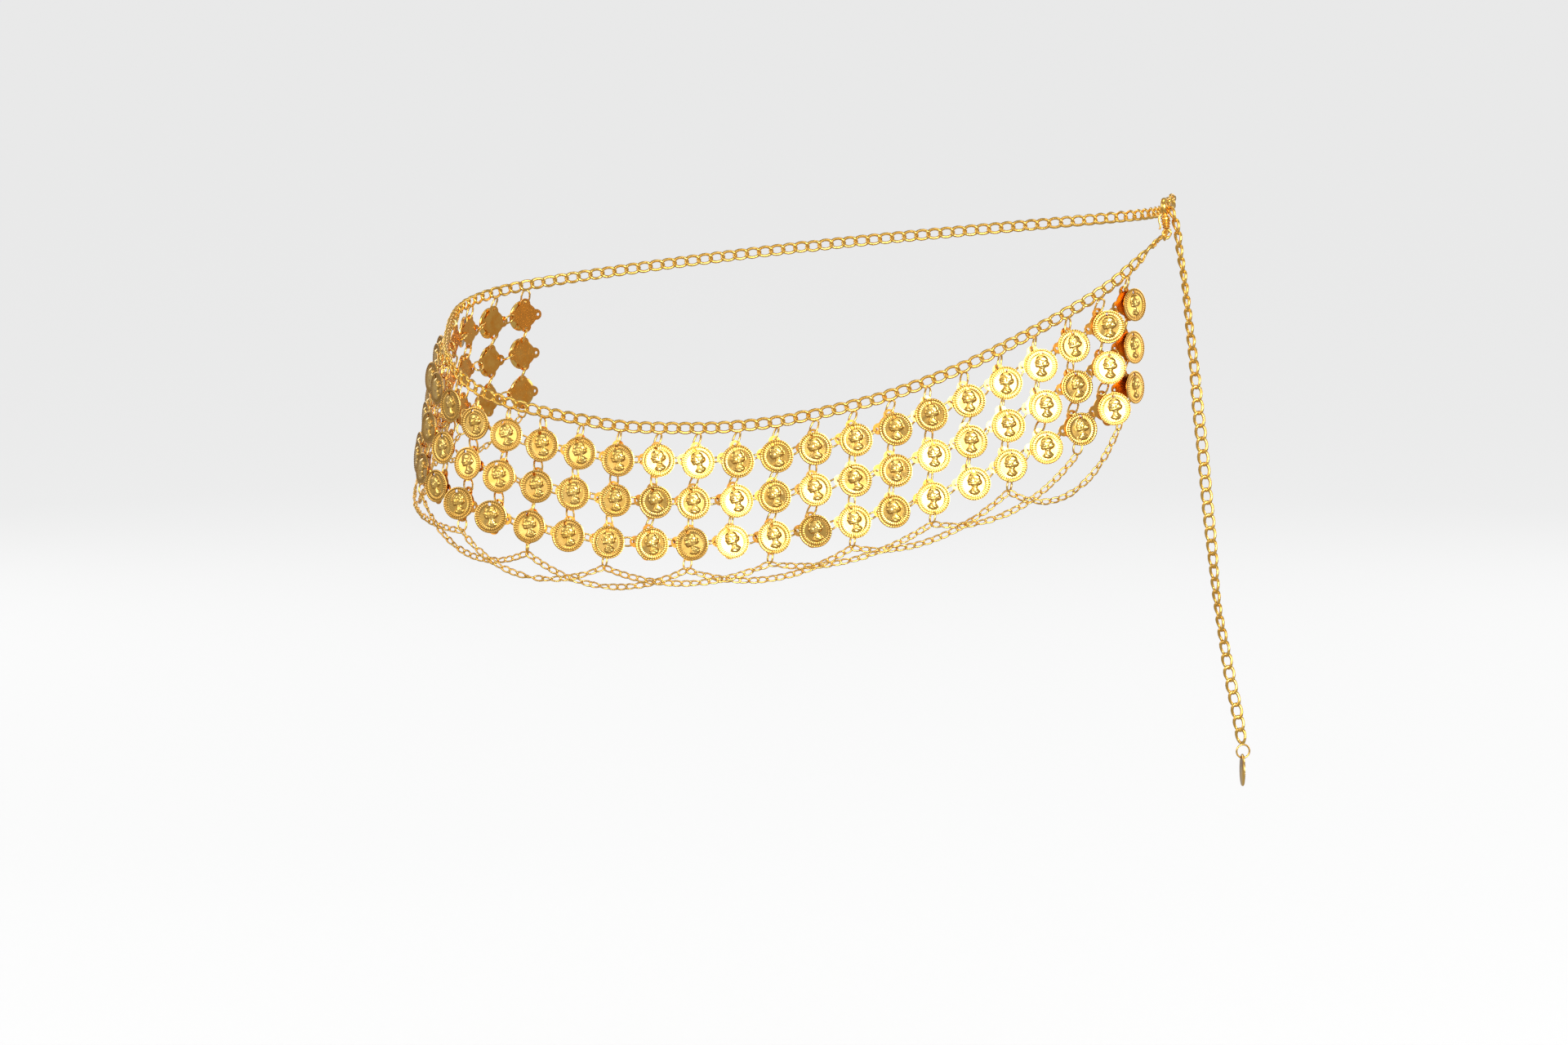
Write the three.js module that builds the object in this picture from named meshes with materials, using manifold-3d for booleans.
// A belly dance coin belt, closed round the hips as it is worn, with nothing inside it.
//
// One curb chain goes right round: a leader with a lobster clasp on its end, the stretch that
// carries the coins, the stretch across the back, and a free tail that hangs from the clasp with
// a ring and one loose coin. Below the carrying stretch hang columns of three coins, each coin on
// a four-lobed back plate. Jump rings join the plates up, down and sideways into a net. Under the
// net, fine chain swags hang from every second column, each one reaching over two others.
//
// Millimetres. X to the wearer's left, Y to the back, Z up. The origin is the middle of the hips.
import * as THREE from "three";
import { mergeVertices } from "three/addons/utils/BufferGeometryUtils.js";
import Module from "manifold-3d";

const wasm = await Module();
wasm.setup();

// Driving sizes.
const HIP_HALF_WIDTH = 169;
const HIP_HALF_DEPTH = 97;
const HIP_SQUARENESS = 3.6; // the power of the rounded hip section, where 2 is an ellipse
const LINK_PITCH = 5.9;
const LINKS_PER_COLUMN = 3;
const COLUMNS = 29;
const ROWS = 3;
const COIN_RADIUS = 7.5;
const PLATE_HOLE_RADIUS = 6.48; // from a back plate's middle to each lobe's hole
const RING_LINE = 5.75; // a jump ring's diameter along the middle of its wire
const CHAIN_WIDTH = 5.7;
const CHAIN_THICK = 2.4;
const SWAG_THICK = 2;
const FINE_PITCH = 4.1;
const SWAG_LINKS = 19;
const SEAM = 0.35; // left open between two pieces that meet

// Sizes that follow from them.
const COLUMN_STEP = LINK_PITCH * LINKS_PER_COLUMN;
const ROW_STEP = 2 * PLATE_HOLE_RADIUS + RING_LINE;
const LOWER_WIRE = CHAIN_WIDTH / 2 - 0.5; // from the chain's middle line to its lower wire
const FIRST_PLATE = LOWER_WIRE + RING_LINE + PLATE_HOLE_RADIUS;
const HANG_DROP = FIRST_PLATE + (ROWS - 1) * ROW_STEP + PLATE_HOLE_RADIUS + RING_LINE;
const SWAG_LENGTH = SWAG_LINKS * FINE_PITCH;

// How the belt lies round the hips, a row for each station. Around is the distance round the
// hips from the middle of the front, plus to the wearer's left. Flare and lean say how far the
// net moves outwards and to the wearer's left for each millimetre that it hangs down.
const LAY = [
  { around: 178, height: 58.0, flare: 0.02, lean: 0 },
  { around: 166, height: 54.5, flare: 0.02, lean: -0.02 },
  { around: 150, height: 44.5, flare: 0.03, lean: -0.05 },
  { around: 142, height: 39, flare: 0.06, lean: -0.02 },
  { around: 130, height: 31.7, flare: 0.1, lean: 0.02 },
  { around: 110, height: 21, flare: 0.14, lean: 0.04 },
  { around: 90, height: 10.6, flare: 0.15, lean: 0.05 },
  { around: 70, height: 0.9, flare: 0.15, lean: 0.04 },
  { around: 50, height: -7.1, flare: 0.15, lean: 0.02 },
  { around: 30, height: -13.9, flare: 0.15, lean: 0 },
  { around: 10, height: -18.9, flare: 0.15, lean: -0.02 },
  { around: -15, height: -24, flare: 0.15, lean: -0.05 },
  { around: -40, height: -26.6, flare: 0.15, lean: -0.07 },
  { around: -65, height: -26.9, flare: 0.15, lean: -0.09 },
  { around: -85, height: -26.2, flare: 0.15, lean: -0.1 },
  { around: -105, height: -23.2, flare: 0.15, lean: -0.1 },
  { around: -125, height: -19.6, flare: 0.16, lean: -0.08 },
  { around: -140, height: -16.3, flare: 0.16, lean: -0.05 },
  { around: -155, height: -12, flare: 0.17, lean: -0.02 },
  { around: -170, height: -6, flare: 0.19, lean: 0.02 },
  { around: -190, height: 1.5, flare: 0.21, lean: 0.05 },
  { around: -215, height: 6, flare: 0.21, lean: 0.05 },
  { around: -235, height: 10, flare: 0.18, lean: 0.04 },
  { around: -260, height: 14, flare: 0.12, lean: 0.04 },
  { around: -290, height: 20, flare: 0.08, lean: 0.05 },
  { around: -330, height: 27, flare: 0.06, lean: 0.02 },
  { around: -460, height: 44, flare: 0.06, lean: 0 },
  { around: -600, height: 58, flare: 0.06, lean: 0 },
  { around: -741, height: 74, flare: 0.06, lean: 0 },
];
const LEADER_END = 177; // around, where the leader's last link meets the clasp
const FIRST_COLUMN = 147.5; // around, of the column nearest the clasp
const CATCH_GAP = 9; // round the hips, from the leader's end to the link in the claw

// The lobster clasp, upright, measured from the middle of its eye. The eye faces the front, and
// the claw is turned on its neck.
const CLASP = {
  x: 163,
  y: -57,
  z: 58.8,
  thick: 2.6,
  eye: 2.6,
  eyeHole: 1.3,
  neck: 1.6,
  claw: 3.7,
  clawHole: 2.1,
  clawHeight: 12.6,
  clawTurn: 66,
  lever: 0.9,
};

// The free tail's route from the clasp to its end ring, chosen by eye to lie down the side.
const TAIL = [
  [168.2, -56.7, 61.0],
  [168.8, -56.4, 57.0],
  [169.5, -56.1, 51.1],
  [170.5, -55.8, 45.0],
  [171.7, -55.5, 37.9],
  [173.2, -55.2, 25.9],
  [174.5, -54.9, 15.0],
  [176.6, -54.6, -1.6],
  [178.6, -54.3, -21.5],
  [180.7, -54.0, -39.2],
  [181.9, -53.7, -50.9],
  [183.1, -53.4, -63.1],
  [184.4, -53.1, -74.8],
  [185.8, -52.8, -87.7],
  [186.9, -52.5, -98.7],
  [188.1, -52.2, -109.9],
  [189.7, -51.9, -120.0],
  [191.3, -51.6, -128.4],
  [192.9, -51.3, -137.2],
  [195.5, -51.0, -151.3],
  [197.7, -50.7, -160.9],
  [200.3, -50.2, -176.6],
];
const TAIL_WIDTH = 3.6;
const END_RING = { x: 201, y: -50, z: -181.2, line: 3.1, wire: 0.45, turn: 12 };
const COIN_HOLE_FROM_MIDDLE = 5.8;
const END_COIN_HOLE = 0.95;
const END_COIN_THICK = 1.2;

const brass = (color, roughness) => new THREE.MeshStandardMaterial({ color, roughness, metalness: 1 });
const CHAIN_GOLD = brass(0xd9a441, 0.25);
const COIN_GOLD = brass(0xe0b04c, 0.22);
const FINE_GOLD = brass(0xd4a03c, 0.28);
const CLASP_GOLD = brass(0xcf9a3a, 0.24);

const DOWN = new THREE.Vector3(0, 0, -1);
const radians = THREE.MathUtils.degToRad;

// The hip section at an angle from the middle of the front, at height 0.
function sectionPoint(angle) {
  const round = (v) => Math.sign(v) * Math.abs(v) ** (2 / HIP_SQUARENESS);
  return new THREE.Vector3(HIP_HALF_WIDTH * round(Math.sin(angle)), -HIP_HALF_DEPTH * round(Math.cos(angle)), 0);
}

// The hip section as a table of angle against distance round it.
const HIP_STEPS = 7200;
const section = [{ angle: 0, at: 0 }];
for (let i = 1; i <= HIP_STEPS; i += 1) {
  const last = section[i - 1];
  const angle = (2 * Math.PI * i) / HIP_STEPS;
  section.push({ angle, at: last.at + sectionPoint(angle).distanceTo(sectionPoint(last.angle)) });
}
const HIP_ROUND = section[HIP_STEPS].at;

// Where a value stands between the two rows of a table that it falls between.
function lookUp(table, key, wanted, value) {
  let low = 0;
  let high = table.length - 1;
  while (high - low > 1) {
    const middle = (low + high) >> 1;
    if (table[middle][key] <= wanted) low = middle;
    else high = middle;
  }
  const a = table[low];
  const b = table[high];
  return a[value] + ((b[value] - a[value]) * (wanted - a[key])) / (b[key] - a[key]);
}

function hipPoint(around) {
  const at = ((around % HIP_ROUND) + HIP_ROUND) % HIP_ROUND;
  return sectionPoint(lookUp(section, "at", at, "angle"));
}

// The lay at any distance round: a smooth cubic through the stations, whose slope at each is that
// of its two neighbours.
function layAt(around) {
  let i = LAY.findIndex((row) => row.around <= around);
  if (i < 0) i = LAY.length - 1;
  i = Math.max(i, 1);
  const near = [i - 2, i - 1, i, i + 1].map((k) => LAY[THREE.MathUtils.clamp(k, 0, LAY.length - 1)]);
  const [p0, p1, p2, p3] = near;
  const span = p2.around - p1.around;
  const t = (around - p1.around) / span;
  const curve = (name) => {
    const m1 = ((p2[name] - p0[name]) / (p2.around - p0.around)) * span;
    const m2 = ((p3[name] - p1[name]) / (p3.around - p1.around)) * span;
    const bend = 2 * (p1[name] - p2[name]) + m1 + m2;
    const lift = 3 * (p2[name] - p1[name]) - 2 * m1 - m2;
    return ((bend * t + lift) * t + m1) * t + p1[name];
  };
  return { height: curve("height"), flare: curve("flare"), lean: curve("lean") };
}

function loopPoint(around) {
  return hipPoint(around).setZ(layAt(around).height);
}

// The loop as a table of distance round against length along the chain, from the leader round by
// the front and the back to the catch link.
const LOOP_STEP = 0.5;
const CATCH_END = LEADER_END + CATCH_GAP - HIP_ROUND;
const loop = [{ around: LEADER_END, along: 0 }];
for (let around = LEADER_END - LOOP_STEP; around > CATCH_END; around -= LOOP_STEP) {
  const last = loop[loop.length - 1];
  loop.push({ around, along: last.along + loopPoint(around).distanceTo(loopPoint(last.around)) });
}
const LOOP_LENGTH = loop[loop.length - 1].along;
const NET_START = loop.find((row) => row.around <= FIRST_COLUMN).along;
const aroundAt = (along) => lookUp(loop, "along", along, "around");

// The net's own directions below a column, which may be a fraction of a column: the point on the
// chain, the way down the net, the way out from the hips and the way along.
function columnFrame(column) {
  const around = aroundAt(NET_START + column * COLUMN_STEP);
  const { flare, lean } = layAt(around);
  const along = hipPoint(around + 0.5).sub(hipPoint(around - 0.5)).normalize();
  const level = new THREE.Vector3(along.y, -along.x, 0);
  const down = DOWN.clone().addScaledVector(level, flare).addScaledVector(along, lean).normalize();
  const out = new THREE.Vector3().crossVectors(down, along).normalize();
  if (out.dot(level) < 0) out.negate();
  return { top: loopPoint(around), down, out, side: new THREE.Vector3().crossVectors(out, down) };
}

function plateMiddle(column, row) {
  const { top, down } = columnFrame(column);
  return top.addScaledVector(down, FIRST_PLATE + row * ROW_STEP);
}

// A closed geometry as a manifold-3d solid.
function solid(geometry) {
  const bare = new THREE.BufferGeometry();
  bare.setAttribute("position", geometry.getAttribute("position"));
  bare.setIndex(geometry.getIndex());
  const merged = mergeVertices(bare, 1e-4);
  return new wasm.Manifold(
    new wasm.Mesh({
      numProp: 3,
      vertProperties: merged.getAttribute("position").array,
      triVerts: new Uint32Array(merged.getIndex().array),
    }),
  );
}

function geometryOf(made) {
  const { numProp, vertProperties, triVerts } = made.getMesh();
  const count = vertProperties.length / numProp;
  const points = new Float32Array(count * 3);
  for (let i = 0; i < count; i += 1) {
    points.set(vertProperties.subarray(i * numProp, i * numProp + 3), i * 3);
  }
  const geometry = new THREE.BufferGeometry();
  geometry.setAttribute("position", new THREE.BufferAttribute(points, 3));
  geometry.setIndex(new THREE.BufferAttribute(triVerts, 1));
  geometry.computeVertexNormals();
  return geometry;
}

function joined(parts) {
  return parts.reduce((all, part) => all.add(part));
}

const belt = new THREE.Group();

function addMesh(name, geometry, material) {
  const mesh = new THREE.Mesh(geometry, material);
  mesh.name = name;
  belt.add(mesh);
  return mesh;
}

// A flat bar from one point to another, square to the way out.
function bar(from, to, out, width, thick) {
  const along = new THREE.Vector3().subVectors(to, from);
  const box = new THREE.BoxGeometry(along.length(), width, thick);
  const x = along.clone().normalize();
  const z = out.clone().addScaledVector(x, -out.dot(x)).normalize();
  const y = new THREE.Vector3().crossVectors(z, x);
  box.applyMatrix4(new THREE.Matrix4().makeBasis(x, y, z));
  const middle = new THREE.Vector3().addVectors(from, to).multiplyScalar(0.5);
  return solid(box.translate(middle.x, middle.y, middle.z));
}

const DISC_SIDES = 18;
const DISC_THICK = 2;
const COIN_RISE = PLATE_HOLE_RADIUS - COIN_HOLE_FROM_MIDDLE; // the coin hangs higher than its plate
const RING_WIDTH = 3.2;
const RING_THICK = 1.4;
const BITE = 0.8; // how far a bar runs into the disc that it joins
const SLOPE_ROOM = 1.3; // below the chain's edge, so that a top bar's corner clears a sloping chain

function disc(middle, out) {
  const round = new THREE.CylinderGeometry(COIN_RADIUS, COIN_RADIUS, DISC_THICK, DISC_SIDES);
  const turn = new THREE.Quaternion().setFromUnitVectors(new THREE.Vector3(0, 1, 0), out);
  round.applyQuaternion(turn);
  return solid(round.translate(middle.x, middle.y, middle.z));
}

// One column of the net: three coins with their plates and the rings above, between and beside
// them, down to the ring that a swag hangs from under every second column.
function makeColumn(column) {
  const { top, down, out } = columnFrame(column);
  const below = (drop) => top.clone().addScaledVector(down, drop);
  const parts = [];
  for (let row = 0; row < ROWS; row += 1) {
    const middle = FIRST_PLATE + row * ROW_STEP - COIN_RISE;
    const coin = below(middle);
    const edge = middle - COIN_RADIUS;
    const above = row === 0 ? CHAIN_WIDTH / 2 + SLOPE_ROOM : edge - (ROW_STEP - 2 * COIN_RADIUS) - BITE;
    parts.push(disc(coin, out));
    parts.push(bar(below(above), below(edge + BITE), out, RING_WIDTH, RING_THICK));
    if (column < COLUMNS - 1) {
      const next = plateMiddle(column + 1, row).addScaledVector(columnFrame(column + 1).down, -COIN_RISE);
      const gap = coin.distanceTo(next) - 2 * COIN_RADIUS;
      const way = next.sub(coin).normalize();
      const start = coin.clone().addScaledVector(way, COIN_RADIUS - BITE);
      const end = coin.clone().addScaledVector(way, COIN_RADIUS + gap - SEAM - 0.15);
      parts.push(bar(start, end, out, RING_WIDTH, RING_THICK));
    }
  }
  const last = FIRST_PLATE + (ROWS - 1) * ROW_STEP - COIN_RISE + COIN_RADIUS;
  if (column % 2 === 0) parts.push(bar(below(last - BITE), below(HANG_DROP), out, RING_WIDTH, RING_THICK));
  return geometryOf(joined(parts));
}

// A flat chain's outline across, with its corners cut. X is its width and Y its thickness.
function chainSection(width, thick) {
  const w = width / 2;
  const t = thick / 2;
  const cut = Math.min(w, t) * 0.6;
  const corners = [
    [w, t - cut],
    [w - cut, t],
    [cut - w, t],
    [-w, t - cut],
    [-w, cut - t],
    [cut - w, -t],
    [w - cut, -t],
    [w, cut - t],
  ];
  return new THREE.Shape(corners.map(([x, y]) => new THREE.Vector2(x, y)));
}

function chainAlong(points, width, thick, steps) {
  const path = new THREE.CatmullRomCurve3(points, false, "centripetal");
  return new THREE.ExtrudeGeometry(chainSection(width, thick), { steps, extrudePath: path });
}

// A stretch of the loop's chain between two lengths along it.
function loopStretch(name, from, to, steps) {
  const points = [];
  for (let i = 0; i <= steps; i += 1) points.push(loopPoint(aroundAt(from + ((to - from) * i) / steps)));
  addMesh(name, chainAlong(points, CHAIN_WIDTH, CHAIN_THICK, steps), CHAIN_GOLD);
}

// A swag's points from one hanging ring to the ring two further on. Seen from above it runs
// half way between the hips' curve and a straight line, and its height is a straight line less a
// parabola that sags until the swag has its real length. Every second swag bulges outwards, so
// that it passes over its neighbours.
const SWAG_STEPS = 14;
const SWAG_REACH = 4; // columns that one swag crosses
const CORNER_CUT = 0.5;
const OVER_LIFT = 5;
const SWAG_END_GAP = 2.2; // from the hanging ring's middle to the end of the swag's solid

function hangPoint(column) {
  const frame = columnFrame(column);
  return frame.top.addScaledVector(frame.down, HANG_DROP);
}

function swagPoints(first, sag) {
  const start = hangPoint(first);
  const end = hangPoint(first + SWAG_REACH);
  const points = [];
  for (let i = 0; i <= SWAG_STEPS; i += 1) {
    const t = i / SWAG_STEPS;
    const frame = columnFrame(first + SWAG_REACH * t);
    const straight = start.clone().lerp(end, t);
    straight.z -= 4 * sag * t * (1 - t);
    const point = frame.top.clone().addScaledVector(frame.down, (straight.z - frame.top.z) / frame.down.z);
    point.lerp(straight, CORNER_CUT);
    const over = (first / 2) % 2 === 1 ? OVER_LIFT * Math.sin(Math.PI * t) : 0;
    points.push(point.addScaledVector(frame.out, over));
  }
  return points;
}

function lineLength(points) {
  return points.slice(1).reduce((sum, point, i) => sum + point.distanceTo(points[i]), 0);
}

function makeSwag(first) {
  let low = 0;
  let high = 60;
  for (let i = 0; i < 30; i += 1) {
    const sag = (low + high) / 2;
    if (lineLength(swagPoints(first, sag)) < SWAG_LENGTH) low = sag;
    else high = sag;
  }
  const points = swagPoints(first, low);
  const trim = (a, b) => a.clone().addScaledVector(b.clone().sub(a).normalize(), SWAG_END_GAP);
  const ends = [trim(points[0], points[1]), trim(points[SWAG_STEPS], points[SWAG_STEPS - 1])];
  const route = [ends[0], ...points.slice(1, -1), ends[1]];
  return chainAlong(route, SWAG_THICK, SWAG_THICK, SWAG_STEPS);
}

// The clasp: an eye below, a neck and a claw that is open on its left, with the spring lever
// that closes it in a piece of its own.
const GAP_TOP = Math.PI * 0.72; // the claw's opening, as angles round the claw's hole
const GAP_BOTTOM = Math.PI * 1.14;
const LEVER_ROOM = 0.12;

function claspClaw() {
  const { neck, claw, clawHole, clawHeight, thick } = CLASP;
  const shoulder = Math.asin(neck / claw);
  const outline = new THREE.Shape();
  outline.absarc(0, clawHeight, claw, -Math.PI / 2 + shoulder, GAP_TOP, false);
  outline.absarc(0, clawHeight, clawHole, GAP_TOP, GAP_BOTTOM - 2 * Math.PI, true);
  outline.absarc(0, clawHeight, claw, GAP_BOTTOM, 1.5 * Math.PI - shoulder, false);
  return new THREE.ExtrudeGeometry(outline, { depth: thick, bevelEnabled: false, curveSegments: 10 });
}

function claspLever() {
  const { claw, clawHole, clawHeight, thick, lever } = CLASP;
  const inner = clawHole + 0.1;
  const from = GAP_TOP + LEVER_ROOM;
  const to = GAP_BOTTOM - LEVER_ROOM;
  const outline = new THREE.Shape();
  outline.absarc(0, clawHeight, inner, to, from, true);
  outline.absarc(0, clawHeight, inner + lever, from, Math.PI * 0.9, false);
  outline.lineTo(-claw - 1.5, clawHeight + 0.7);
  outline.lineTo(-claw - 1.6, clawHeight - 0.3);
  outline.absarc(0, clawHeight, inner + lever, Math.PI * 1.02, to, false);
  const flat = { depth: thick * 0.6, bevelEnabled: false, curveSegments: 8 };
  return new THREE.ExtrudeGeometry(outline, flat).translate(0, 0, thick * 0.2);
}

// Stands a flat shape of the clasp upright, turned about the clasp's own upright line.
function upright(geometry, turn) {
  geometry.translate(0, 0, -CLASP.thick / 2).rotateX(Math.PI / 2).rotateZ(radians(turn));
  return geometry.translate(CLASP.x, CLASP.y, CLASP.z);
}

function claspBody() {
  const { x, y, z, neck, eye, eyeHole, claw, clawHeight, clawTurn, thick } = CLASP;
  const ring = new THREE.Shape().absarc(0, 0, eye, 0, 2 * Math.PI, false);
  ring.holes.push(new THREE.Path().absarc(0, 0, eyeHole, 0, 2 * Math.PI, true));
  const eyeFlat = new THREE.ExtrudeGeometry(ring, { depth: thick * 0.6, bevelEnabled: false, curveSegments: 10 });
  const neckTop = clawHeight - claw + 0.6;
  const post = new THREE.CylinderGeometry(neck, neck, neckTop - eyeHole - 0.5, 12).rotateX(Math.PI / 2);
  post.translate(x, y, z + (neckTop + eyeHole + 0.5) / 2);
  const parts = [upright(eyeFlat.translate(0, 0, thick * 0.2), 0), post, upright(claspClaw(), clawTurn)];
  return geometryOf(joined(parts.map(solid)));
}

// The chain, in its four stretches.
const HALF_LINK = LINK_PITCH / 2;
const NET_FROM = NET_START - HALF_LINK;
const NET_TO = NET_START + (COLUMNS - 1) * COLUMN_STEP + HALF_LINK;
loopStretch("chain_leader", CLASP.eye + 1.9, NET_FROM - SEAM / 2, 6);
loopStretch("chain_net", NET_FROM + SEAM / 2, NET_TO - SEAM / 2, 56);
loopStretch("chain_back", NET_TO + SEAM / 2, LOOP_LENGTH - 2, 40);
const tailPoints = TAIL.map(([x, y, z]) => new THREE.Vector3(x, y, z));
addMesh("chain_tail", chainAlong(tailPoints, CHAIN_THICK, TAIL_WIDTH, 40), CHAIN_GOLD);

// The net and its swags.
const twoDigits = (n) => String(n).padStart(2, "0");
for (let column = 0; column < COLUMNS; column += 1) {
  addMesh(`coin_column_${twoDigits(column)}`, makeColumn(column), COIN_GOLD);
}
for (let first = 0; first + SWAG_REACH < COLUMNS; first += 2) {
  addMesh(`swag_${twoDigits(first / 2)}`, makeSwag(first), FINE_GOLD);
}

addMesh("clasp_body", claspBody(), CLASP_GOLD);
addMesh("clasp_lever", upright(claspLever(), CLASP.clawTurn), CLASP_GOLD);

// The tail's end: a ring, and a loose coin that swings on the ring's lowest wire.
const ring = addMesh("end_ring", new THREE.TorusGeometry(END_RING.line, END_RING.wire, 8, 20), CHAIN_GOLD);
ring.rotation.set(Math.PI / 2, radians(END_RING.turn), 0, "ZXY");
ring.position.set(END_RING.x, END_RING.y, END_RING.z);
const endCoin = new THREE.Shape().absarc(0, 0, COIN_RADIUS, 0, 2 * Math.PI, false);
endCoin.holes.push(new THREE.Path().absarc(0, COIN_HOLE_FROM_MIDDLE, END_COIN_HOLE, 0, 2 * Math.PI, true));
const endCoinFlat = { depth: END_COIN_THICK, bevelEnabled: false, curveSegments: 12 };
const endCoinGeometry = new THREE.ExtrudeGeometry(endCoin, endCoinFlat)
  .translate(0, -COIN_HOLE_FROM_MIDDLE, -END_COIN_THICK / 2)
  .rotateX(Math.PI / 2)
  .rotateZ(Math.PI / 2 + radians(END_RING.turn));
const loose = addMesh("end_coin", endCoinGeometry, COIN_GOLD);
loose.position.set(END_RING.x, END_RING.y, END_RING.z - END_RING.line);

export default belt;
